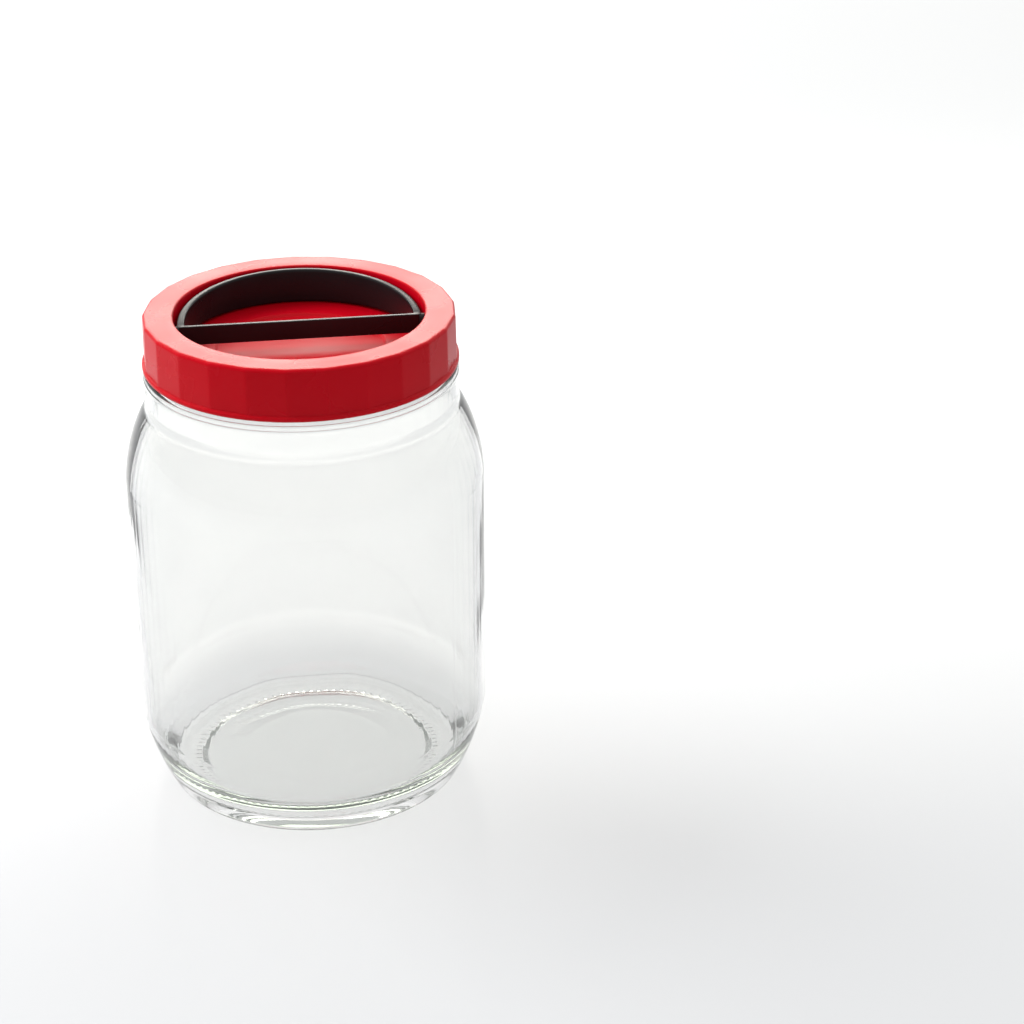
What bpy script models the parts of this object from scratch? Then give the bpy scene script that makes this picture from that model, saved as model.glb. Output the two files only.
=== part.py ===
"""Two-litre glass jar with a faceted screw lid and a folding carry handle sunk into the lid.

Four pieces: the glass jar, the moulded lid, the sealing ring under its top and the D-shaped handle.
The origin is the centre of the jar's base on the surface it stands on, +Z is up, and the handle's
straight bar and pivots lie along X with its grip folded down towards +Y. All sizes are in metres.
"""

import math

import bmesh
import bpy
from mathutils import Matrix, Vector

TOTAL_HEIGHT = 0.1977
CLEARANCE = 0.0003

JAR_RADIUS = 0.07015
JAR_SIDES = 48
JAR_WALL = 0.0036
BEARING_INNER_RADIUS = 0.0473
BEARING_OUTER_RADIUS = 0.0569
BASE_CORNER_RADIUS = 0.0043
BASE_CORNER_TURN = 61
PUSH_UP_RADIUS = 0.0450
PUSH_UP_HEIGHT = 0.0026
HEEL_TOP = 0.0310
HEEL_INSET = 0.01134
HEEL_POWER = 1.29
SHOULDER_BOTTOM = 0.1302
SHOULDER_INSET = 0.0151
SHOULDER_HEIGHT = 0.0352
SHOULDER_POWER = 1.67
COLLAR_RADIUS = 0.0605
COLLAR_BOTTOM = 0.1660
COLLAR_TOP = 0.1770
COLLAR_CHAMFER = 0.0010
NECK_RADIUS = 0.0542
MOUTH_RADIUS = 0.0511
MOUTH_BOTTOM = 0.1772
JAR_TOP = 0.1936
LIP_RADIUS = 0.0013
FLOOR_THICKNESS = 0.0078
INNER_HEEL_INSET = 0.0140
INNER_HEEL_POWER = 1.70
INNER_SHOULDER_INSET = 0.0136
INNER_SHOULDER_HEIGHT = 0.0340
THROAT_RADIUS = 0.0570
THROAT_TOP = 0.1735

THREAD_PITCH = 0.00508
THREAD_TURNS = 1.10
THREAD_ROOT_HALF_WIDTH = 0.00125
THREAD_CREST_HALF_WIDTH = 0.00055
THREAD_TAPER_TURNS = 0.06
THREAD_ROOT_DEPTH = 0.0007
JAR_THREAD_CREST = 0.0559
JAR_THREAD_BOTTOM = 0.1850
LID_THREAD_CREST = 0.0547
LID_THREAD_DROP = 0.0020

LID_CORNER_RADIUS = 0.0598
LID_DRAFT = 0.0003
LID_FACETS = 25
LID_FACET_SIDES = 2
LID_FACET_PHASE = 1.9
LID_EDGE_RADIUS = 0.0014
LID_SKIRT = 0.0200
LID_INNER_RADIUS = 0.0565
LID_TOP_THICKNESS = 0.0020
BEAD_RADIUS = 0.0608
BEAD_TOP = 0.0180
RECESS_RADIUS = 0.0481
RECESS_DEPTH = 0.0142
RECESS_EDGE_RADIUS = 0.0008
RECESS_CORNER_RADIUS = 0.0015
RECESS_WALL = 0.0024
RECESS_FLOOR = 0.0018
DISC_RADIUS = 0.0325
DISC_STEP = 0.0010

SEAL_INNER_RADIUS = 0.0510
SEAL_OUTER_RADIUS = 0.0560

PIVOT_DROP = 0.0070
PIVOT_HEIGHT = TOTAL_HEIGHT - PIVOT_DROP
HANDLE_RADIUS = 0.0467
GRIP_THICKNESS = 0.0028
GRIP_HALF_HEIGHT = 0.0068
GRIP_RISE_POWER = 0.75
GRIP_STEPS = 28
BAR_THICKNESS = 0.0018
BAR_HALF_HEIGHT = 0.00375
BAR_DROP = 0.0009
STUB_RADIUS = 0.0028
STUB_ROOT = 0.0459
STUB_END = 0.0491
SOCKET_RADIUS = 0.0029
SOCKET_MOUTH = 0.0474
SOCKET_END = 0.0496
ROUND_SIDES = 20

SMOOTH_ANGLE = math.radians(30)
WELD = 0.000001


def clear_scene():
    for item in list(bpy.data.objects):
        bpy.data.objects.remove(item, do_unlink=True)


def make_material(name, colour, roughness, transmission=0.0):
    material = bpy.data.materials.new(name)
    material.use_nodes = True
    shader = material.node_tree.nodes["Principled BSDF"]
    shader.inputs["Base Color"].default_value = (*colour, 1.0)
    shader.inputs["Roughness"].default_value = roughness
    shader.inputs["Metallic"].default_value = 0.0
    shader.inputs["Transmission Weight"].default_value = transmission
    return material


def add_object(name, shape, material=None):
    """Turns the bmesh into a smooth shaded object with its faces pointing out."""
    bmesh.ops.recalc_face_normals(shape, faces=shape.faces)
    mesh = bpy.data.meshes.new(name)
    shape.to_mesh(mesh)
    shape.free()
    mesh.shade_smooth()
    mesh.set_sharp_from_angle(angle=SMOOTH_ANGLE)
    item = bpy.data.objects.new(name, mesh)
    bpy.context.scene.collection.objects.link(item)
    if material:
        mesh.materials.append(material)
    else:
        item.hide_render = True
        item.display_type = "WIRE"
    return item


def add_boolean(target, tool, operation):
    modifier = target.modifiers.new(tool.name, "BOOLEAN")
    modifier.operation = operation
    modifier.solver = "EXACT"
    modifier.object = tool


def arc(centre_radius, centre_height, size, start, end, steps):
    """Points (radius, height) along a circular arc, with its angles in degrees."""
    angles = [math.radians(start + (end - start) * step / steps) for step in range(steps + 1)]
    return [(centre_radius + size * math.cos(a), centre_height + size * math.sin(a)) for a in angles]


def superellipse(edge_radius, edge_height, inset, rise, power, limit, steps):
    """Points that leave the wall upright and curve in by inset while they go up (or down) by rise."""
    points = []
    for step in range(steps + 1):
        angle = math.radians(limit) * step / steps
        radius = edge_radius - inset + inset * math.cos(angle) ** (2 / power)
        height = edge_height + rise * math.sin(angle) ** (2 / power)
        points.append((radius, height))
    return points


def turned(profile, sides, phase=0.0, closed=False):
    """A bmesh of the profile of (radius, height) points turned a full circle about Z."""
    shape = bmesh.new()
    start = Matrix.Rotation(math.radians(phase), 4, "Z")
    corners = [shape.verts.new(start @ Vector((radius, 0.0, height))) for radius, height in profile]
    pairs = list(zip(corners, corners[1:]))
    if closed:
        pairs.append((corners[-1], corners[0]))
    edges = [shape.edges.new(pair) for pair in pairs]
    bmesh.ops.spin(
        shape,
        geom=corners + edges,
        axis=(0.0, 0.0, 1.0),
        cent=(0.0, 0.0, 0.0),
        angle=math.tau,
        steps=sides,
        use_merge=True,
    )
    bmesh.ops.remove_doubles(shape, verts=shape.verts, dist=WELD)
    return shape


def make_thread(name, wall_radius, crest_radius, bottom):
    """A helical ridge of one right-hand start, sunk into the wall and running out at both ends."""
    outward = 1 if crest_radius > wall_radius else -1
    root_radius = wall_radius - outward * THREAD_ROOT_DEPTH
    sunk_radius = wall_radius - outward * CLEARANCE
    steps = round(THREAD_TURNS * JAR_SIDES)
    shape = bmesh.new()
    sections = []
    for step in range(steps + 1):
        turns = THREAD_TURNS * step / steps
        grown = min(1.0, turns / THREAD_TAPER_TURNS, (THREAD_TURNS - turns) / THREAD_TAPER_TURNS)
        crest = sunk_radius + (crest_radius - sunk_radius) * grown
        middle = bottom + THREAD_PITCH * turns
        outline = (
            (root_radius, middle - THREAD_ROOT_HALF_WIDTH),
            (crest, middle - THREAD_CREST_HALF_WIDTH),
            (crest, middle + THREAD_CREST_HALF_WIDTH),
            (root_radius, middle + THREAD_ROOT_HALF_WIDTH),
        )
        spin = Matrix.Rotation(math.tau * turns, 4, "Z")
        sections.append([shape.verts.new(spin @ Vector((r, 0.0, z))) for r, z in outline])
    shape.faces.new(sections[0])
    shape.faces.new(sections[-1])
    for near, far in zip(sections, sections[1:]):
        for side in range(len(near)):
            after = (side + 1) % len(near)
            shape.faces.new((near[side], near[after], far[after], far[side]))
    return add_object(name, shape)


def make_pivots(name, radius, inner_end, outer_end):
    """Two round pegs along X at the pivot height, one at each end of the handle's bar."""
    shape = bmesh.new()
    for side in (-1, 1):
        middle = side * (inner_end + outer_end) / 2
        place = Matrix.Translation((middle, 0.0, PIVOT_HEIGHT)) @ Matrix.Rotation(math.pi / 2, 4, "Y")
        bmesh.ops.create_cone(
            shape,
            cap_ends=True,
            segments=ROUND_SIDES,
            radius1=radius,
            radius2=radius,
            depth=outer_end - inner_end,
            matrix=place,
        )
    return add_object(name, shape)


def jar_profile():
    """From the middle of the base, up the outside, over the lip and down the inside to the floor."""
    inside = JAR_RADIUS - JAR_WALL
    corner = arc(
        BEARING_OUTER_RADIUS, BASE_CORNER_RADIUS, BASE_CORNER_RADIUS, -90, BASE_CORNER_TURN - 90, 3
    )
    heel = superellipse(JAR_RADIUS, HEEL_TOP, HEEL_INSET, -HEEL_TOP, HEEL_POWER, 76, 6)
    shoulder = superellipse(
        JAR_RADIUS, SHOULDER_BOTTOM, SHOULDER_INSET, SHOULDER_HEIGHT, SHOULDER_POWER, 63, 6
    )
    lip_height = JAR_TOP - LIP_RADIUS
    outer_lip = arc(NECK_RADIUS - LIP_RADIUS, lip_height, LIP_RADIUS, 0, 90, 2)
    inner_lip = arc(MOUTH_RADIUS + LIP_RADIUS, lip_height, LIP_RADIUS, 90, 180, 2)
    inner_shoulder = superellipse(
        inside, SHOULDER_BOTTOM, INNER_SHOULDER_INSET, INNER_SHOULDER_HEIGHT, SHOULDER_POWER, 60, 4
    )
    inner_heel = superellipse(
        inside, HEEL_TOP, INNER_HEEL_INSET, FLOOR_THICKNESS - HEEL_TOP, INNER_HEEL_POWER, 90, 5
    )
    return [
        (0.0, PUSH_UP_HEIGHT),
        (PUSH_UP_RADIUS, PUSH_UP_HEIGHT / 2),
        (BEARING_INNER_RADIUS, 0.0),
        *corner,
        *reversed(heel),
        *shoulder,
        (COLLAR_RADIUS, COLLAR_BOTTOM),
        (COLLAR_RADIUS, COLLAR_TOP - COLLAR_CHAMFER),
        (COLLAR_RADIUS - COLLAR_CHAMFER, COLLAR_TOP),
        (NECK_RADIUS, COLLAR_TOP + COLLAR_CHAMFER),
        *outer_lip,
        *inner_lip,
        (MOUTH_RADIUS, MOUTH_BOTTOM),
        (THROAT_RADIUS, THROAT_TOP),
        *reversed(inner_shoulder),
        *inner_heel,
        (0.0, FLOOR_THICKNESS),
    ]


def make_jar(glass):
    jar = add_object("glass_jar", turned(jar_profile(), JAR_SIDES), glass)
    thread = make_thread("jar_thread_tool", NECK_RADIUS, JAR_THREAD_CREST, JAR_THREAD_BOTTOM)
    add_boolean(jar, thread, "UNION")


def lid_profile():
    """From the middle of the recess, over the rim, down the skirt and back under the recess."""
    top = TOTAL_HEIGHT
    floor = top - RECESS_DEPTH
    dish_radius = RECESS_RADIUS + RECESS_WALL
    dish_bottom = floor - RECESS_FLOOR
    corner = arc(
        RECESS_RADIUS - RECESS_CORNER_RADIUS,
        floor + RECESS_CORNER_RADIUS,
        RECESS_CORNER_RADIUS,
        -90,
        0,
        2,
    )
    rim = arc(
        RECESS_RADIUS + RECESS_EDGE_RADIUS, top - RECESS_EDGE_RADIUS, RECESS_EDGE_RADIUS, 180, 90, 2
    )
    edge = arc(LID_CORNER_RADIUS - LID_EDGE_RADIUS, top - LID_EDGE_RADIUS, LID_EDGE_RADIUS, 90, 0, 2)
    skirt_foot = LID_CORNER_RADIUS + LID_DRAFT
    bead_step = BEAD_RADIUS - skirt_foot
    chamfer = LID_EDGE_RADIUS / 2
    skirt_bottom = top - LID_SKIRT
    return [
        (0.0, floor - DISC_STEP),
        (DISC_RADIUS - DISC_STEP / 2, floor - DISC_STEP),
        (DISC_RADIUS, floor),
        *corner,
        *rim,
        *edge,
        (skirt_foot, top - BEAD_TOP),
        (BEAD_RADIUS, top - BEAD_TOP - bead_step),
        (BEAD_RADIUS, skirt_bottom + chamfer),
        (BEAD_RADIUS - chamfer, skirt_bottom),
        (LID_INNER_RADIUS + chamfer, skirt_bottom),
        (LID_INNER_RADIUS, skirt_bottom + chamfer),
        (LID_INNER_RADIUS, top - LID_TOP_THICKNESS),
        (dish_radius, top - LID_TOP_THICKNESS),
        (dish_radius, dish_bottom + RECESS_CORNER_RADIUS),
        (dish_radius - RECESS_CORNER_RADIUS, dish_bottom),
        (DISC_RADIUS + DISC_STEP, dish_bottom),
        (DISC_RADIUS + DISC_STEP / 2, dish_bottom - DISC_STEP),
        (0.0, dish_bottom - DISC_STEP),
    ]


def flatten_facets(shape):
    """Pulls the skirt and the rim's edge in between the corners, onto the flats of a regular polygon."""
    pitch = math.tau / LID_FACETS
    phase = math.radians(LID_FACET_PHASE)
    bead_height = TOTAL_HEIGHT - BEAD_TOP
    for vertex in shape.verts:
        radius = vertex.co.xy.length
        if radius < LID_INNER_RADIUS + WELD or vertex.co.z < bead_height - WELD:
            continue
        offset = (math.atan2(vertex.co.y, vertex.co.x) - phase) % pitch - pitch / 2
        scale = math.cos(pitch / 2) / math.cos(offset)
        vertex.co.x *= scale
        vertex.co.y *= scale


def make_lid(red_plastic):
    shape = turned(lid_profile(), LID_FACETS * LID_FACET_SIDES, LID_FACET_PHASE)
    flatten_facets(shape)
    lid = add_object("screw_lid", shape, red_plastic)
    thread_bottom = JAR_THREAD_BOTTOM - LID_THREAD_DROP
    thread = make_thread("lid_thread_tool", LID_INNER_RADIUS, LID_THREAD_CREST, thread_bottom)
    add_boolean(lid, thread, "UNION")
    sockets = make_pivots("socket_tool", SOCKET_RADIUS, SOCKET_MOUTH, SOCKET_END)
    add_boolean(lid, sockets, "DIFFERENCE")


def make_seal(foam):
    top = TOTAL_HEIGHT - LID_TOP_THICKNESS - CLEARANCE
    bottom = JAR_TOP + CLEARANCE
    profile = [
        (SEAL_INNER_RADIUS, bottom),
        (SEAL_OUTER_RADIUS, bottom),
        (SEAL_OUTER_RADIUS, top),
        (SEAL_INNER_RADIUS, top),
    ]
    add_object("seal_ring", turned(profile, JAR_SIDES, LID_FACET_PHASE, closed=True), foam)


def handle_outline():
    """The D seen from above: (outer point, inner point, lower edge, upper edge) all the way round.

    Heights are measured from the pivots. The band is tallest at the middle of the grip.
    """
    half_bar = BAR_THICKNESS / 2
    inner_radius = HANDLE_RADIUS - GRIP_THICKNESS
    low = -BAR_DROP - BAR_HALF_HEIGHT
    high = -BAR_DROP + BAR_HALF_HEIGHT
    start = math.asin(half_bar / inner_radius)
    stations = []
    for step in range(GRIP_STEPS + 1):
        angle = start + (math.pi - 2 * start) * step / GRIP_STEPS
        along = Vector((math.cos(angle), math.sin(angle)))
        rise = ((math.sin(angle) - math.sin(start)) / (1 - math.sin(start))) ** GRIP_RISE_POWER
        bottom = low + (-GRIP_HALF_HEIGHT - low) * rise
        top = high + (GRIP_HALF_HEIGHT - high) * rise
        stations.append((along * HANDLE_RADIUS, along * inner_radius, bottom, top))
    reach = math.sqrt(HANDLE_RADIUS**2 - half_bar**2)
    for side in (-1, 1):
        inner = Vector((side * inner_radius * math.cos(start), half_bar))
        stations.append((Vector((side * reach, -half_bar)), inner, low, high))
    return stations


def make_handle(black_plastic):
    shape = bmesh.new()
    sections = []
    for outer, inner, bottom, top in handle_outline():
        corners = ((outer, bottom), (outer, top), (inner, top), (inner, bottom))
        sections.append([shape.verts.new((p.x, p.y, PIVOT_HEIGHT + height)) for p, height in corners])
    for near, far in zip(sections, sections[1:] + sections[:1]):
        for side in range(len(near)):
            after = (side + 1) % len(near)
            shape.faces.new((near[side], near[after], far[after], far[side]))
    bmesh.ops.remove_doubles(shape, verts=shape.verts, dist=WELD)
    handle = add_object("carry_handle", shape, black_plastic)
    handle.data.transform(Matrix.Translation((0.0, 0.0, -PIVOT_HEIGHT)))
    handle.location.z = PIVOT_HEIGHT
    stubs = make_pivots("stub_tool", STUB_RADIUS, STUB_ROOT, STUB_END)
    add_boolean(handle, stubs, "UNION")


def main():
    clear_scene()
    make_jar(make_material("clear_glass", (0.93, 0.96, 0.95), 0.03, transmission=1.0))
    make_lid(make_material("red_plastic", (0.55, 0.002, 0.012), 0.25))
    make_seal(make_material("white_foam", (0.82, 0.82, 0.80), 0.60))
    make_handle(make_material("black_plastic", (0.012, 0.011, 0.012), 0.28))


main()
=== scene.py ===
"""Visual model of a glass jar with a faceted red screw lid and a folding black handle.

Shapes are in millimetres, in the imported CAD's own frame: the origin is the middle of the jar's base
on the surface it stands on, +Z is up, and the handle's bar lies along X.
"""

import math

import bmesh
import bpy
import numpy as np
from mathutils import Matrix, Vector


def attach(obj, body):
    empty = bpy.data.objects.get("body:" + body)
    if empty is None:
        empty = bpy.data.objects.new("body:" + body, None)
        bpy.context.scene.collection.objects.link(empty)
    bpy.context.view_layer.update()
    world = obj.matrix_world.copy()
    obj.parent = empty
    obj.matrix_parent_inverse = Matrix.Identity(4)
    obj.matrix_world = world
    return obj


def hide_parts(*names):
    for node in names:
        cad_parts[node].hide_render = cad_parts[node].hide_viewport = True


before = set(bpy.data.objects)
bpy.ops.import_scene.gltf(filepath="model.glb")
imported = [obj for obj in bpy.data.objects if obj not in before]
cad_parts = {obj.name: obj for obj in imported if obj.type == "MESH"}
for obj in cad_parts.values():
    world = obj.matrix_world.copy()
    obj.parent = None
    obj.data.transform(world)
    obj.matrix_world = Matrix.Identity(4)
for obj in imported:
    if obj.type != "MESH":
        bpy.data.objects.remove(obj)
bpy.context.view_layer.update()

MM = 0.001
# Places closer than this count as the same.
TOLERANCE = 1e-6
# Rows of a profile are picked out by height with this much to spare.
ROW_MARGIN = 0.1

# Sizes in millimetres and angles in degrees.

TOP = 197.7

THREAD_PITCH = 5.08
THREAD_TURNS = 1.10
THREAD_FADE = 0.05
THREAD_HEIGHT = 1.75
THREAD_ROOT_HALF_WIDTH = 1.25
THREAD_CREST_HALF_WIDTH = 0.55
JAR_THREAD_BOTTOM = 185.0
LID_THREAD_BOTTOM = JAR_THREAD_BOTTOM - 2.0

JAR_RADIUS = 70.15
WALL = 3.6
INNER_RADIUS = JAR_RADIUS - WALL
NECK_RADIUS = 54.2
MOUTH_RADIUS = 51.1
JAR_TOP = 193.6
LIP_RADIUS = 1.3
THREAD_ZONE = (180.6, 192.3)
MOUTH_BOTTOM = 180.5
BEARING_RADIUS = 56.9
BASE_CORNER_RADIUS = 4.3
HEEL_TOP = 31.0
SHOULDER_BOTTOM = 130.2
SHOULDER_POWER = 1.67
COLLAR_RADIUS = 60.5
COLLAR_SEAM_RADIUS = 60.75
FLOOR_HEIGHT = 8.0

SEAM_ANGLE = -41.8
SEAM_OFFSETS = (-0.6, -0.3, -0.12, 0.12, 0.3, 0.6)
SEAM_HEIGHT = 0.03
SEAM_HALF_WIDTH = 0.25
SEAM_ZONE = (3.0, 173.5)
SEAM_INNER_LIMIT = 57.5
TICKS = 90
TICK_OFFSETS = (0.0, 0.5, 1.5, 2.0)
TICK_ANGLES = (0.4, 1.6)
TICK_RADII = (47.4, 49.8)
TICK_CEILING = 0.4
TICK_DEPTH = 0.14
WAVE_ZONE = (30.0, 178.0)
WAVE_FADES = (25.0, 20.0)
# Height, number round the jar, radians per millimetre of height, and phase of each wave.
WAVES = ((0.10, 3, 0.055, 0.0), (0.07, 7, -0.031, 1.3), (0.05, 11, 0.11, 0.4))

FACETS = 25
FACET_PHASE = 1.9
FACET_CORNER_TRIM = 0.9992
FACET_COLUMNS = (-0.5, -0.25, 0.0, 0.25, 0.5, 1.2, 3.0, 5.1, 7.2, 9.3, 11.4, 13.2)
FACET_INNER_LIMIT = 57.5
LID_CORNER_RADIUS = 59.8
LID_FOOT_RADIUS = 60.1
LID_INNER_RADIUS = 56.5
LID_THREAD_CREST = 54.75
BEAD_RADIUS = 60.8
BEAD_LEDGE = TOP - 18.0
SKIRT_BOTTOM = TOP - 20.0
SKIRT_LAND = 1.6
RECESS_RADIUS = 48.1
RECESS_FLOOR = TOP - 14.2
RECESS_WALL = 2.4
RECESS_THICKNESS = 1.8
PLATE_BOTTOM = TOP - 2.0
PLATE_LAND = 4.0
DISC_RADIUS = 32.5
DISC_STEP = 1.0

SEAL_RADII = (51.0, 56.0)
SEAL_HEIGHTS = (193.9, 195.4)
SEAL_EDGE = 0.3
SEAL_SIDES = 144

PIVOT_HEIGHT = TOP - 7.0
SOCKET_RADIUS = 2.9
SOCKET_ENDS = (47.4, 49.6)
SOCKET_CHAMFER = 0.2
STUB_RADIUS = 2.8
STUB_ENDS = (45.9, 49.1)
STUB_CHAMFER = 0.4
ROUND_SIDES = 32

HANDLE_RADIUS = 46.7
GRIP_THICKNESS = 2.8
GRIP_HALF_HEIGHT = 6.8
GRIP_RISE_POWER = 0.75
GRIP_STEPS = 120
BAR_THICKNESS = 1.8
BAR_HALF_HEIGHT = 3.75
BAR_DROP = 0.9
BAR_STEPS = 24
BAR_EDGE = 0.3
GRIP_EDGE = 0.95
EDGE_STEPS = 3

JAR_SMOOTH_ANGLE = 40
LID_SMOOTH_ANGLE = 28
HANDLE_SMOOTH_ANGLE = 35

# Looks and lights, in metres, watts and shader units.

CLEAR_RAY_DEPTH = 5.5
# Painted shade: rays turned many times go straight on, darkened by this tint at each surface, for the grey
# lines in the thick glass.
DEEP_RAY_PAINTED_SHADE = (0.52, 0.54, 0.52, 1)
LIGHTING_TINT = (0.98, 0.983, 0.978, 1)
RECESS_MATTE = 0.14
RECESS_MATTE_RADII = (0.0468, 0.0478)

BACK_DIRECTION = (0.15, 0.99, 0.42)
UP_DIRECTION = (0.0, 0.0, 1.0)
BACK_GLOW = 0.55
TOP_GLOW = 0.2
ROOM_GLOW = 0.70
SEEN_BACK_GLOW = 0.65
SEEN_ROOM_GLOW = 0.34
FLOOR_HALF_SIZE = 12.0
FLOOR_DROP = 0.0002

CAMERA_PLACE = (-0.05083, -0.88025, 0.54447)
CAMERA_TILT = 63.766
CAMERA_TURN = -8.58
CAMERA_LENS = 86.76
SENSOR_WIDTH = 36.0


def arc(centre_radius, centre_height, size, start, end, steps):
    """Points (radius, height) along a circular arc, with its angles in degrees."""
    angles = [math.radians(start + (end - start) * step / steps) for step in range(steps + 1)]
    return [(centre_radius + size * math.cos(a), centre_height + size * math.sin(a)) for a in angles]


def superellipse(edge_radius, edge_height, inset, rise, power, limit, steps):
    """Points that leave the wall upright and curve in by inset while they go up (or down) by rise."""
    points = []
    for step in range(steps + 1):
        angle = math.radians(limit) * step / steps
        radius = edge_radius - inset + inset * math.cos(angle) ** (2 / power)
        height = edge_height + rise * math.sin(angle) ** (2 / power)
        points.append((radius, height))
    return points


def rounded(corners, steps=5):
    """The outline through corners of (radius, height, fillet), each inner corner turned into an arc."""
    points = []
    last = len(corners) - 1
    for index, (radius, height, fillet) in enumerate(corners):
        here = Vector((radius, height))
        if fillet == 0 or index in (0, last):
            points.append(tuple(here))
            continue
        back = (Vector(corners[index - 1][:2]) - here).normalized()
        ahead = (Vector(corners[index + 1][:2]) - here).normalized()
        half = back.angle(ahead) / 2
        centre = here + (back + ahead).normalized() * fillet / math.sin(half)
        first = (here + back * fillet / math.tan(half) - centre).normalized()
        final = (here + ahead * fillet / math.tan(half) - centre).normalized()
        points += [tuple(centre + first.slerp(final, step / steps) * fillet) for step in range(steps + 1)]
    return points


def divided(points, longest):
    """The outline with extra points, so that no step is longer than the given length."""
    result = [points[0]]
    for before, after in zip(points, points[1:]):
        count = max(1, math.ceil(math.dist(before, after) / longest))
        for step in range(1, count + 1):
            share = step / count
            result.append(tuple(a + (b - a) * share for a, b in zip(before, after)))
    return result


def mesh_object(name, points, faces, material):
    mesh = bpy.data.meshes.new(name)
    mesh.from_pydata([tuple(point) for point in points], [], faces)
    mesh.update()
    item = bpy.data.objects.new(name, mesh)
    bpy.context.scene.collection.objects.link(item)
    mesh.materials.append(material)
    return item


def lathe(name, profile, angles, material, warp=None, closed=False):
    """A mesh of the profile of (radius, height) points, with a column at each angle."""
    radii = np.array([radius for radius, height in profile])[:, None] * np.ones(len(angles))
    heights = np.array([height for radius, height in profile])[:, None] * np.ones(len(angles))
    turns = np.radians(np.array(angles))[None, :] * np.ones((len(profile), 1))
    if warp:
        radii, heights = warp(radii, heights, turns)
    columns = len(angles)
    points, rows = [], []
    for row in range(len(profile)):
        start = len(points)
        if profile[row][0] < TOLERANCE:
            points.append((0.0, 0.0, heights[row, 0] * MM))
            rows.append([start] * columns)
            continue
        x = radii[row] * np.cos(turns[row]) * MM
        y = radii[row] * np.sin(turns[row]) * MM
        points += list(zip(x.tolist(), y.tolist(), (heights[row] * MM).tolist()))
        rows.append(list(range(start, start + columns)))
    pairs = list(zip(rows, rows[1:]))
    if closed:
        pairs.append((rows[-1], rows[0]))
    faces = []
    for lower, upper in pairs:
        for column in range(columns):
            after = (column + 1) % columns
            corners = [lower[column], lower[after], upper[after], upper[column]]
            faces.append(list(dict.fromkeys(corners)))
    return mesh_object(name, points, faces, material)


def finish_mesh(item, smooth_angle):
    """Bakes the modifiers in, turns the faces outwards and shades the item smooth up to the angle."""
    graph = bpy.context.evaluated_depsgraph_get()
    mesh = bpy.data.meshes.new_from_object(item.evaluated_get(graph))
    item.modifiers.clear()
    item.data = mesh
    shape = bmesh.new()
    shape.from_mesh(mesh)
    bmesh.ops.recalc_face_normals(shape, faces=shape.faces)
    shape.to_mesh(mesh)
    shape.free()
    mesh.shade_smooth()
    mesh.set_sharp_from_angle(angle=math.radians(smooth_angle))
    return item


def smooth_step(value):
    value = np.clip(value, 0.0, 1.0)
    return value * value * (3 - 2 * value)


def thread_height(heights, turns, bottom):
    """How far a right-handed helical ridge stands out, from 0 to 1, at each height and angle."""
    found = np.zeros_like(heights)
    for lap in range(math.ceil(THREAD_TURNS) + 1):
        travelled = turns / math.tau % 1.0 + lap
        offset = np.abs(heights - bottom - THREAD_PITCH * travelled)
        slope_width = THREAD_ROOT_HALF_WIDTH - THREAD_CREST_HALF_WIDTH
        ridge = smooth_step((THREAD_ROOT_HALF_WIDTH - offset) / slope_width)
        ends = np.minimum(travelled, THREAD_TURNS - travelled) / THREAD_FADE
        found = np.maximum(found, ridge * smooth_step(ends))
    return found


# The glass jar.


def jar_outside():
    """From the middle of the base, up the outside to the top of the neck."""
    base = rounded(
        [
            (0.0, 2.7, 0),
            (30.0, 2.5, 20),
            (44.6, 1.5, 2),
            (46.6, 0.2, 0.6),
            (47.2, 0.15, 0),
            (47.5, 0.15, 0),
            (49.7, 0.15, 0),
            (50.0, 0.15, 0),
            (52.2, 0.12, 0),
            (54.2, 0.0, 0.5),
            (BEARING_RADIUS, 0.0, 0),
        ]
    )
    corner = arc(BEARING_RADIUS, BASE_CORNER_RADIUS, BASE_CORNER_RADIUS, start=-90, end=-29, steps=10)
    heel = superellipse(JAR_RADIUS, HEEL_TOP, inset=11.34, rise=-HEEL_TOP, power=1.29, limit=76, steps=22)
    shoulder = superellipse(
        JAR_RADIUS, SHOULDER_BOTTOM, inset=15.1, rise=35.2, power=SHOULDER_POWER, limit=63, steps=26
    )
    collar = rounded(
        [
            shoulder[-1] + (0,),
            (60.6, 164.5, 4),
            (COLLAR_RADIUS, 173.7, 0),
            (COLLAR_SEAM_RADIUS, 174.2, 0.15),
            (COLLAR_RADIUS, 174.7, 0),
            (60.4, 176.2, 0),
            (59.3, 177.0, 0.9),
            (55.2, 177.1, 0.7),
            (NECK_RADIUS, 178.6, 0.8),
            (NECK_RADIUS, THREAD_ZONE[0], 0),
        ]
    )
    collar = divided(collar, longest=1.8)
    neck = divided([(NECK_RADIUS, THREAD_ZONE[0]), (NECK_RADIUS, THREAD_ZONE[1])], longest=0.5)
    return base + corner[1:] + heel[::-1] + shoulder[1:-1] + collar + neck[1:]


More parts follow.
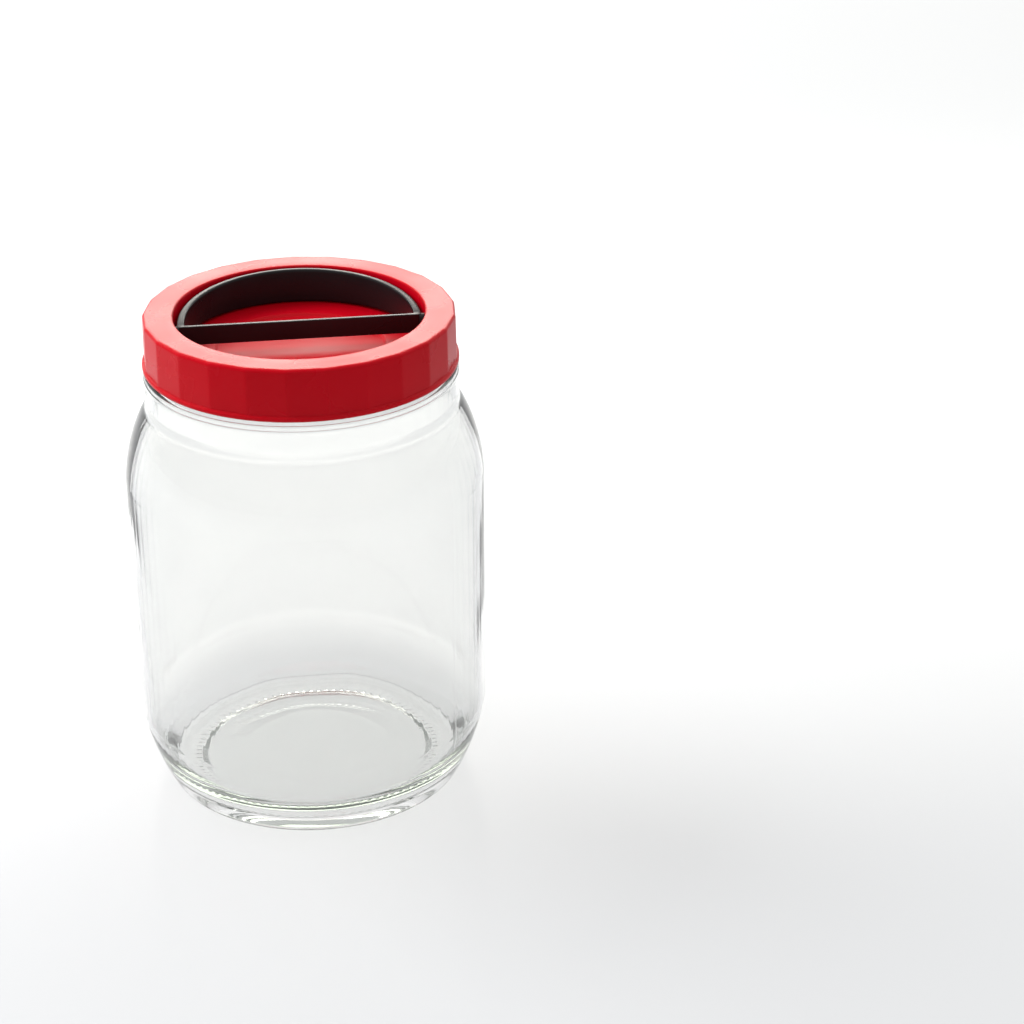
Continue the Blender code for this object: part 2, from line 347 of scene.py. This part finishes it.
def jar_inside():
    """Over the lip and down the inside to the middle of the floor."""
    lip_middle = JAR_TOP - LIP_RADIUS
    lip = arc(NECK_RADIUS - LIP_RADIUS, lip_middle, LIP_RADIUS, 0, 90, 6)[1:]
    lip += arc(MOUTH_RADIUS + LIP_RADIUS, lip_middle, LIP_RADIUS, 90, 180, 6)
    throat = [(MOUTH_RADIUS, 186.0), (MOUTH_RADIUS, MOUTH_BOTTOM)]
    shoulder = superellipse(
        INNER_RADIUS, SHOULDER_BOTTOM, inset=13.6, rise=34.0, power=SHOULDER_POWER, limit=60, steps=20
    )
    blend = rounded(
        [
            (MOUTH_RADIUS, MOUTH_BOTTOM, 0),
            (51.3, 177.4, 2.5),
            (56.9, 174.2, 3),
            (57.1, 164.0, 12),
            shoulder[-1] + (0,),
        ],
        steps=7,
    )
    blend = divided(blend, longest=1.8)
    wall = divided([(INNER_RADIUS, SHOULDER_BOTTOM), (INNER_RADIUS, HEEL_TOP)], longest=10.0)
    heel = superellipse(INNER_RADIUS, HEEL_TOP, inset=14.0, rise=-23.2, power=1.7, limit=90, steps=20)
    floor = divided([heel[-1], (0.0, FLOOR_HEIGHT)], longest=4.0)
    return lip + throat + blend[1:] + shoulder[::-1][1:] + wall[1:] + heel[1:] + floor[1:]


def jar_warp(radii, heights, turns):
    """Adds the thread, the two mould seams, the base's ticks and slight waves in the inner wall."""
    neck = (np.abs(radii - NECK_RADIUS) < TOLERANCE) & (heights > THREAD_ZONE[0] - ROW_MARGIN)
    ridge = thread_height(heights, turns, JAR_THREAD_BOTTOM)
    radii = radii + neck * ridge * THREAD_HEIGHT
    first_inside = len(jar_outside())
    outer = np.arange(len(radii))[:, None] < first_inside
    seam_rows = outer & (radii > SEAM_INNER_LIMIT) & (heights > SEAM_ZONE[0]) & (heights < SEAM_ZONE[1])
    away = np.degrees(turns) - SEAM_ANGLE
    away = np.abs((away + 90) % 180 - 90)
    seam = np.exp(-((np.radians(away) * radii / SEAM_HALF_WIDTH) ** 2))
    radii = radii + seam_rows * seam * SEAM_HEIGHT
    ticks = outer & (heights < TICK_CEILING) & (radii > TICK_RADII[0]) & (radii < TICK_RADII[1])
    place = np.degrees(turns) % (360 / TICKS)
    on_tick = (place > TICK_ANGLES[0]) & (place < TICK_ANGLES[1])
    heights = heights - ticks * on_tick * TICK_DEPTH
    wave = sum(size * np.sin(count * turns + heights * slant + phase) for size, count, slant, phase in WAVES)
    low, high = WAVE_ZONE
    inside = ~outer & (heights > low) & (heights < high)
    fade = smooth_step((heights - low) / WAVE_FADES[0]) * smooth_step((high - heights) / WAVE_FADES[1])
    return radii + inside * wave * fade, heights


def make_jar(material):
    tick_pitch = 360 / TICKS
    angles = {round(tick * tick_pitch + offset, 4) for tick in range(TICKS) for offset in TICK_OFFSETS}
    for seam in (SEAM_ANGLE, SEAM_ANGLE + 180):
        angles |= {round((seam + offset) % 360, 4) for offset in SEAM_OFFSETS}
    jar = lathe("jar_glass", jar_outside() + jar_inside(), sorted(angles), material, jar_warp)
    finish_mesh(jar, JAR_SMOOTH_ANGLE)
    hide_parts("glass_jar")
    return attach(jar, "jar")


# The screw lid.


def lid_profile():
    """From the middle of the recess over the rim, down the skirt, up inside it and back under the recess."""
    dish = RECESS_RADIUS + RECESS_WALL
    under = RECESS_FLOOR - RECESS_THICKNESS
    land_top = SKIRT_BOTTOM + SKIRT_LAND
    plate_foot = PLATE_BOTTOM - PLATE_LAND
    outside = [
        (0.0, RECESS_FLOOR - DISC_STEP, 0),
        (DISC_RADIUS - 0.8, RECESS_FLOOR - DISC_STEP, 0.5),
        (DISC_RADIUS + 0.4, RECESS_FLOOR, 0.5),
        (RECESS_RADIUS - 0.35, RECESS_FLOOR, 1.5),
        (RECESS_RADIUS, TOP, 0.8),
        (53.0, TOP, 0),
        (57.4, TOP, 0),
        (LID_CORNER_RADIUS, TOP, 1.5),
        (LID_FOOT_RADIUS, BEAD_LEDGE + 0.6, 0),
        (LID_FOOT_RADIUS, BEAD_LEDGE, 0.3),
        (BEAD_RADIUS, BEAD_LEDGE - 0.6, 0.5),
        (BEAD_RADIUS, SKIRT_BOTTOM, 0.6),
        (LID_INNER_RADIUS, SKIRT_BOTTOM, 0.5),
        (LID_INNER_RADIUS, land_top, 0),
    ]
    inside = [
        (LID_INNER_RADIUS, plate_foot, 0),
        (LID_INNER_RADIUS, PLATE_BOTTOM, 0.3),
        (dish, PLATE_BOTTOM, 0.3),
        (dish, under, 1.5),
        (DISC_RADIUS + 1.0, under, 0.3),
        (DISC_RADIUS + 0.7, under - DISC_STEP, 0.3),
        (0.0, under - DISC_STEP, 0),
    ]
    thread_zone = divided([(LID_INNER_RADIUS, land_top), (LID_INNER_RADIUS, plate_foot)], longest=0.3)
    return rounded(outside) + thread_zone[1:-1] + rounded(inside)


def lid_warp(radii, heights, turns):
    """Flattens the skirt's facets, with slightly softened corners, and raises the inner thread."""
    pitch = math.tau / FACETS
    offset = (turns - math.radians(FACET_PHASE)) % pitch - pitch / 2
    flat = math.cos(pitch / 2) / np.cos(offset)
    faceted = (radii > FACET_INNER_LIMIT) & (heights > BEAD_LEDGE - ROW_MARGIN)
    radii = np.where(faceted, radii * np.minimum(flat, FACET_CORNER_TRIM), radii)
    land_top = SKIRT_BOTTOM + SKIRT_LAND
    wall = (np.abs(radii - LID_INNER_RADIUS) < TOLERANCE) & (heights > land_top - ROW_MARGIN)
    ridge = thread_height(heights, turns, LID_THREAD_BOTTOM)
    return radii - wall * ridge * (LID_INNER_RADIUS - LID_THREAD_CREST), heights


def peg_pair(name, radius, ends, chamfer):
    """Two round pegs along X at the pivots' height, with their ends chamfered, as one mesh in metres."""
    inner_end, outer_end = ends
    outline = [(0.0, inner_end), (radius, inner_end), (radius, outer_end - chamfer)]
    outline += [(radius - chamfer, outer_end), (0.0, outer_end)]
    angles = [math.tau * step / ROUND_SIDES for step in range(ROUND_SIDES)]
    shape = bmesh.new()
    for side in (-1, 1):
        rings = []
        for size, along in outline:
            x = side * along * MM
            if size == 0:
                rings.append([shape.verts.new((x, 0.0, PIVOT_HEIGHT * MM))] * ROUND_SIDES)
                continue
            ring = [(x, size * math.cos(a) * MM, (PIVOT_HEIGHT + size * math.sin(a)) * MM) for a in angles]
            rings.append([shape.verts.new(point) for point in ring])
        for near, far in zip(rings, rings[1:]):
            for step in range(ROUND_SIDES):
                after = (step + 1) % ROUND_SIDES
                corners = [near[step], near[after], far[after], far[step]]
                shape.faces.new(list(dict.fromkeys(corners)))
    bmesh.ops.recalc_face_normals(shape, faces=shape.faces)
    mesh = bpy.data.meshes.new(name)
    shape.to_mesh(mesh)
    shape.free()
    item = bpy.data.objects.new(name, mesh)
    bpy.context.scene.collection.objects.link(item)
    return item


def combine(item, tool, operation):
    """Adds or cuts the tool with an exact Boolean, then removes the tool."""
    modifier = item.modifiers.new(tool.name, "BOOLEAN")
    modifier.operation = operation
    modifier.solver = "EXACT"
    modifier.object = tool
    graph = bpy.context.evaluated_depsgraph_get()
    item.data = bpy.data.meshes.new_from_object(item.evaluated_get(graph))
    item.modifiers.clear()
    bpy.data.objects.remove(tool)


def make_lid(material):
    pitch = 360 / FACETS
    angles = [FACET_PHASE + facet * pitch + offset for facet in range(FACETS) for offset in FACET_COLUMNS]
    lid = lathe("lid_shell", lid_profile(), angles, material, lid_warp)
    finish_mesh(lid, JAR_SMOOTH_ANGLE)
    combine(lid, peg_pair("sockets", SOCKET_RADIUS, SOCKET_ENDS, SOCKET_CHAMFER), "DIFFERENCE")
    finish_mesh(lid, LID_SMOOTH_ANGLE)
    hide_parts("screw_lid")
    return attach(lid, "lid")


# The sealing ring.


def make_seal(material):
    inner, outer = SEAL_RADII
    bottom, top = SEAL_HEIGHTS
    middle = (inner + outer) / 2
    corners = [(outer, bottom), (outer, top), (inner, top), (inner, bottom)]
    outline = [(middle, bottom, 0)] + [corner + (SEAL_EDGE,) for corner in corners] + [(middle, bottom, 0)]
    angles = [360 * step / SEAL_SIDES for step in range(SEAL_SIDES)]
    seal = lathe("seal_liner", rounded(outline)[:-1], angles, material, closed=True)
    finish_mesh(seal, JAR_SMOOTH_ANGLE)
    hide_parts("seal_ring")
    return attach(seal, "seal")


# The handle.


def handle_stations():
    """(outer point, inner point, bottom, top, edge radius) all the way round the D.

    Heights are measured from the pivots.
    """
    half_bar = BAR_THICKNESS / 2
    inner_radius = HANDLE_RADIUS - GRIP_THICKNESS
    low = -BAR_DROP - BAR_HALF_HEIGHT
    high = -BAR_DROP + BAR_HALF_HEIGHT
    start = math.asin(half_bar / inner_radius)
    stations = []
    for step in range(GRIP_STEPS + 1):
        angle = start + (math.pi - 2 * start) * step / GRIP_STEPS
        along = Vector((math.cos(angle), math.sin(angle)))
        rise = ((math.sin(angle) - math.sin(start)) / (1 - math.sin(start))) ** GRIP_RISE_POWER
        bottom = low + (-GRIP_HALF_HEIGHT - low) * rise
        top = high + (GRIP_HALF_HEIGHT - high) * rise
        edge = BAR_EDGE + (GRIP_EDGE - BAR_EDGE) * rise
        stations.append((along * HANDLE_RADIUS, along * inner_radius, bottom, top, edge))
    reach = math.sqrt(HANDLE_RADIUS**2 - half_bar**2)
    inner_reach = inner_radius * math.cos(start)
    for step in range(BAR_STEPS + 1):
        share = -1 + 2 * step / BAR_STEPS
        outer = Vector((share * reach, -half_bar))
        stations.append((outer, Vector((share * inner_reach, half_bar)), low, high, BAR_EDGE))
    return stations


def handle_section(outer, inner, bottom, top, edge):
    """The band's cross-section at one station, a rectangle with rounded edges, as points in millimetres."""
    width = (inner - outer).length
    middle = (outer + inner) / 2
    across = (inner - outer).normalized()
    points = []
    for side, level, start in ((-1, bottom, 180), (1, bottom, 270), (1, top, 0), (-1, top, 90)):
        inward = 1 if level == bottom else -1
        for step in range(EDGE_STEPS + 1):
            angle = math.radians(start + 90 * step / EDGE_STEPS)
            shift = side * (width / 2 - edge) + edge * math.cos(angle)
            height = level + inward * edge + edge * math.sin(angle)
            place = middle + across * shift
            points.append((place.x, place.y, height))
    return points


def make_handle(material):
    points, faces = [], []
    stations = handle_stations()
    for station in stations:
        points += [(x * MM, y * MM, (PIVOT_HEIGHT + z) * MM) for x, y, z in handle_section(*station)]
    ring = 4 * (EDGE_STEPS + 1)
    for index in range(len(stations)):
        after = (index + 1) % len(stations)
        for side in range(ring):
            beside = (side + 1) % ring
            near, far = index * ring, after * ring
            faces.append([near + side, near + beside, far + beside, far + side])
    handle = mesh_object("handle_grip", points, faces, material)
    shape = bmesh.new()
    shape.from_mesh(handle.data)
    bmesh.ops.remove_doubles(shape, verts=shape.verts, dist=TOLERANCE)
    bmesh.ops.recalc_face_normals(shape, faces=shape.faces)
    shape.to_mesh(handle.data)
    shape.free()
    combine(handle, peg_pair("stubs", STUB_RADIUS, STUB_ENDS, STUB_CHAMFER), "UNION")
    finish_mesh(handle, HANDLE_SMOOTH_ANGLE)
    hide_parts("carry_handle")
    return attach(handle, "handle")


# Materials.


def new_material(name):
    material = bpy.data.materials.new(name)
    material.use_nodes = True
    return material, material.node_tree.nodes, material.node_tree.links


def add_noise(nodes, links, coordinates, scale, detail):
    noise = nodes.new("ShaderNodeTexNoise")
    noise.inputs["Scale"].default_value = scale
    noise.inputs["Detail"].default_value = detail
    noise.inputs["Roughness"].default_value = 0.5
    links.new(coordinates, noise.inputs["Vector"])
    return noise.outputs["Fac"]


def add_colours(nodes, links, amount, first, second):
    """A colour that goes from the first to the second with the amount."""
    mix = nodes.new("ShaderNodeMix")
    mix.data_type = "RGBA"
    mix.inputs["A"].default_value = first
    mix.inputs["B"].default_value = second
    links.new(amount, mix.inputs["Factor"])
    return mix.outputs["Result"]


def add_range(nodes, links, value, low, high, from_low=0.3, from_high=0.7):
    node = nodes.new("ShaderNodeMapRange")
    node.inputs["From Min"].default_value = from_low
    node.inputs["From Max"].default_value = from_high
    node.inputs["To Min"].default_value = low
    node.inputs["To Max"].default_value = high
    links.new(value, node.inputs["Value"])
    return node.outputs["Result"]


def add_math(nodes, links, operation, first, second):
    node = nodes.new("ShaderNodeMath")
    node.operation = operation
    for socket, value in zip(node.inputs, (first, second)):
        if isinstance(value, (int, float)):
            socket.default_value = value
        else:
            links.new(value, socket)
    return node.outputs[0]


def add_bump(nodes, links, height, distance, before=None):
    bump = nodes.new("ShaderNodeBump")
    bump.inputs["Distance"].default_value = distance
    links.new(height, bump.inputs["Height"])
    if before:
        links.new(before, bump.inputs["Normal"])
    return bump.outputs["Normal"]


def object_coordinates(nodes):
    return nodes.new("ShaderNodeTexCoord").outputs["Object"]


def add_clear(nodes, links, surface, factor, colour):
    """The surface, swapped by the factor for a tinted transparent one that doesn't bend light."""
    clear = nodes.new("ShaderNodeBsdfTransparent")
    clear.inputs["Color"].default_value = colour
    mix = nodes.new("ShaderNodeMixShader")
    links.new(factor, mix.inputs[0])
    links.new(surface, mix.inputs[1])
    links.new(clear.outputs[0], mix.inputs[2])
    return mix.outputs[0]


def glass_look():
    """Pressed clear glass: a faint tint, long soft waves and a slightly uneven polish.

    Rays that only carry light pass straight through, and so do rays that have been turned many times; these
    are darkened at each surface by a painted shade tint that draws the grey lines along the glass's thick
    edges.
    """
    material, nodes, links = new_material("pressed_clear_glass")
    shader = nodes["Principled BSDF"]
    shader.inputs["Base Color"].default_value = (0.912, 0.916, 0.909, 1)
    shader.inputs["Transmission Weight"].default_value = 1.0
    shader.inputs["IOR"].default_value = 1.51
    coordinates = object_coordinates(nodes)
    fine = add_noise(nodes, links, coordinates, scale=60, detail=3)
    links.new(add_range(nodes, links, fine, low=0.0, high=0.03), shader.inputs["Roughness"])
    waves = add_noise(nodes, links, coordinates, scale=22, detail=1)
    links.new(add_bump(nodes, links, waves, distance=0.0006), shader.inputs["Normal"])
    path = nodes.new("ShaderNodeLightPath")
    deep = add_math(nodes, links, "GREATER_THAN", path.outputs["Ray Depth"], CLEAR_RAY_DEPTH)
    surface = add_clear(nodes, links, shader.outputs[0], deep, DEEP_RAY_PAINTED_SHADE)
    shadow, diffuse = path.outputs["Is Shadow Ray"], path.outputs["Is Diffuse Ray"]
    lighting = add_math(nodes, links, "MAXIMUM", shadow, diffuse)
    surface = add_clear(nodes, links, surface, lighting, LIGHTING_TINT)
    links.new(surface, nodes["Material Output"].inputs["Surface"])
    return material


def red_look():
    """Glossy moulded polypropylene: deep red, slightly clouded, with a fine grain and a duller recess."""
    material, nodes, links = new_material("moulded_red_plastic")
    shader = nodes["Principled BSDF"]
    coordinates = object_coordinates(nodes)
    cloud = add_noise(nodes, links, coordinates, scale=35, detail=4)
    colours = add_colours(nodes, links, cloud, (0.42, 0.0001, 0.006, 1), (0.48, 0.0003, 0.009, 1))
    links.new(colours, shader.inputs["Base Color"])
    grain = add_noise(nodes, links, coordinates, scale=900, detail=2)
    flat = nodes.new("ShaderNodeVectorMath")
    flat.operation = "MULTIPLY"
    flat.inputs[1].default_value = (1, 1, 0)
    links.new(coordinates, flat.inputs[0])
    distance = nodes.new("ShaderNodeVectorMath")
    distance.operation = "LENGTH"
    links.new(flat.outputs[0], distance.inputs[0])
    matte = add_range(nodes, links, distance.outputs["Value"], RECESS_MATTE, 0.0, *RECESS_MATTE_RADII)
    polish = add_range(nodes, links, cloud, low=0.22, high=0.32)
    links.new(add_math(nodes, links, "ADD", polish, matte), shader.inputs["Roughness"])
    soft = add_noise(nodes, links, coordinates, scale=45, detail=1)
    normal = add_bump(nodes, links, soft, distance=0.00004)
    links.new(add_bump(nodes, links, grain, distance=0.000006, before=normal), shader.inputs["Normal"])
    shader.inputs["Subsurface Weight"].default_value = 0.12
    shader.inputs["Subsurface Radius"].default_value = (0.004, 0.0004, 0.0003)
    shader.inputs["Subsurface Scale"].default_value = 1.0
    shader.inputs["IOR"].default_value = 1.5
    shader.inputs["Specular IOR Level"].default_value = 0.11
    shader.inputs["Specular Tint"].default_value = (1.0, 0.93, 0.80, 1)
    return material


def black_look():
    """Satin black moulding with a fine grain and faint rubbed patches."""
    material, nodes, links = new_material("moulded_black_plastic")
    shader = nodes["Principled BSDF"]
    coordinates = object_coordinates(nodes)
    cloud = add_noise(nodes, links, coordinates, scale=50, detail=4)
    colours = add_colours(nodes, links, cloud, (0.006, 0.005, 0.006, 1), (0.013, 0.011, 0.012, 1))
    links.new(colours, shader.inputs["Base Color"])
    links.new(add_range(nodes, links, cloud, low=0.26, high=0.38), shader.inputs["Roughness"])
    grain = add_noise(nodes, links, coordinates, scale=1100, detail=2)
    links.new(add_bump(nodes, links, grain, distance=0.00003), shader.inputs["Normal"])
    shader.inputs["Specular IOR Level"].default_value = 0.26
    return material


def foam_look():
    """Closed-cell white foam: matte, with tiny pits."""
    material, nodes, links = new_material("white_liner_foam")
    shader = nodes["Principled BSDF"]
    coordinates = object_coordinates(nodes)
    cells = nodes.new("ShaderNodeTexVoronoi")
    cells.inputs["Scale"].default_value = 1400
    links.new(coordinates, cells.inputs["Vector"])
    cloud = add_noise(nodes, links, coordinates, scale=40, detail=3)
    colours = add_colours(nodes, links, cloud, (0.74, 0.73, 0.70, 1), (0.85, 0.85, 0.83, 1))
    links.new(colours, shader.inputs["Base Color"])
    shader.inputs["Roughness"].default_value = 0.7
    pits = add_bump(nodes, links, cells.outputs["Distance"], distance=0.00015)
    links.new(pits, shader.inputs["Normal"])
    return material


def floor_look():
    """Plain pale floor with almost no sheen."""
    material, nodes, links = new_material("studio_floor")
    shader = nodes["Principled BSDF"]
    shader.inputs["Base Color"].default_value = (0.492, 0.50, 0.512, 1)
    shader.inputs["Roughness"].default_value = 0.18
    shader.inputs["Specular IOR Level"].default_value = 0.05
    return material


# The studio.


def add_light(name, place, target, size, power, colour=(1, 1, 1), reflected=False):
    """A rectangular softbox that faces the target and is left out of refractions."""
    data = bpy.data.lights.new(name, "AREA")
    data.shape = "RECTANGLE"
    data.size, data.size_y = size
    data.energy = power
    data.color = colour
    item = bpy.data.objects.new(name, data)
    item.location = place
    direction = Vector(target) - Vector(place)
    item.rotation_euler = direction.to_track_quat("-Z", "Y").to_euler()
    item.visible_camera = False
    item.visible_glossy = reflected
    item.visible_transmission = False
    bpy.context.scene.collection.objects.link(item)


def sky_glow(nodes, links, direction, towards, low, high, strength):
    """A soft glow round one direction: nothing below the cosine low, full strength above high."""
    dot = nodes.new("ShaderNodeVectorMath")
    dot.operation = "DOT_PRODUCT"
    dot.inputs[1].default_value = Vector(towards).normalized()
    links.new(direction, dot.inputs[0])
    ramp = nodes.new("ShaderNodeMapRange")
    ramp.interpolation_type = "SMOOTHSTEP"
    ramp.inputs["From Min"].default_value = low
    ramp.inputs["From Max"].default_value = high
    ramp.inputs["To Max"].default_value = strength
    links.new(dot.outputs["Value"], ramp.inputs["Value"])
    return ramp.outputs["Result"]


def make_world():
    """A pale room with a broad glow behind the object; reflections and refractions see a dimmer one."""
    world = bpy.data.worlds.new("studio")
    world.use_nodes = True
    bpy.context.scene.world = world
    nodes, links = world.node_tree.nodes, world.node_tree.links
    background = nodes["Background"]
    background.inputs["Color"].default_value = (1.0, 1.0, 1.0, 1.0)
    direction = nodes.new("ShaderNodeTexCoord").outputs["Generated"]
    back = sky_glow(nodes, links, direction, BACK_DIRECTION, low=0.25, high=0.92, strength=BACK_GLOW)
    above = sky_glow(nodes, links, direction, UP_DIRECTION, low=0.2, high=1.0, strength=TOP_GLOW)
    glow = add_math(nodes, links, "ADD", back, above)
    lit = add_math(nodes, links, "ADD", glow, ROOM_GLOW)
    seen = sky_glow(nodes, links, direction, BACK_DIRECTION, low=-0.1, high=0.9, strength=SEEN_BACK_GLOW)
    seen = add_math(nodes, links, "ADD", seen, SEEN_ROOM_GLOW)
    path = nodes.new("ShaderNodeLightPath")
    glossy, refracted = path.outputs["Is Glossy Ray"], path.outputs["Is Transmission Ray"]
    mirrored = add_math(nodes, links, "MAXIMUM", glossy, refracted)
    choice = nodes.new("ShaderNodeMix")
    links.new(mirrored, choice.inputs["Factor"])
    links.new(lit, choice.inputs["A"])
    links.new(seen, choice.inputs["B"])
    links.new(choice.outputs["Result"], background.inputs["Strength"])


def make_studio():
    half = FLOOR_HALF_SIZE
    corners = [(-half, -half, 0), (half, -half, 0), (half, half, 0), (-half, half, 0)]
    floor = mesh_object("studio_floor", corners, [[0, 1, 2, 3]], floor_look())
    floor.location.z = -FLOOR_DROP
    make_world()
    add_light(
        "overhead_softbox",
        place=(-1.05, 0.7, 1.5),
        target=(0, 0, 0.05),
        size=(1.0, 1.0),
        power=23,
    )
    add_light(
        "left_softbox",
        place=(-1.5, 0.2, 0.85),
        target=(0, 0, 0.1),
        size=(0.8, 0.8),
        power=13,
    )
    add_light(
        "back_card",
        place=(0.16, 3.0, 1.42),
        target=(0, 0, 0.19),
        size=(3.4, 1.0),
        power=84,
        colour=(1.0, 0.975, 0.90),
        reflected=True,
    )


def make_camera():
    data = bpy.data.cameras.new("camera")
    data.lens = CAMERA_LENS
    data.sensor_width = SENSOR_WIDTH
    camera = bpy.data.objects.new("camera", data)
    camera.location = CAMERA_PLACE
    camera.rotation_euler = (math.radians(CAMERA_TILT), 0.0, math.radians(CAMERA_TURN))
    bpy.context.scene.collection.objects.link(camera)
    bpy.context.scene.camera = camera


make_jar(glass_look())
make_lid(red_look())
make_seal(foam_look())
make_handle(black_look())
make_studio()
make_camera()
bpy.context.scene.view_settings.view_transform = "Standard"
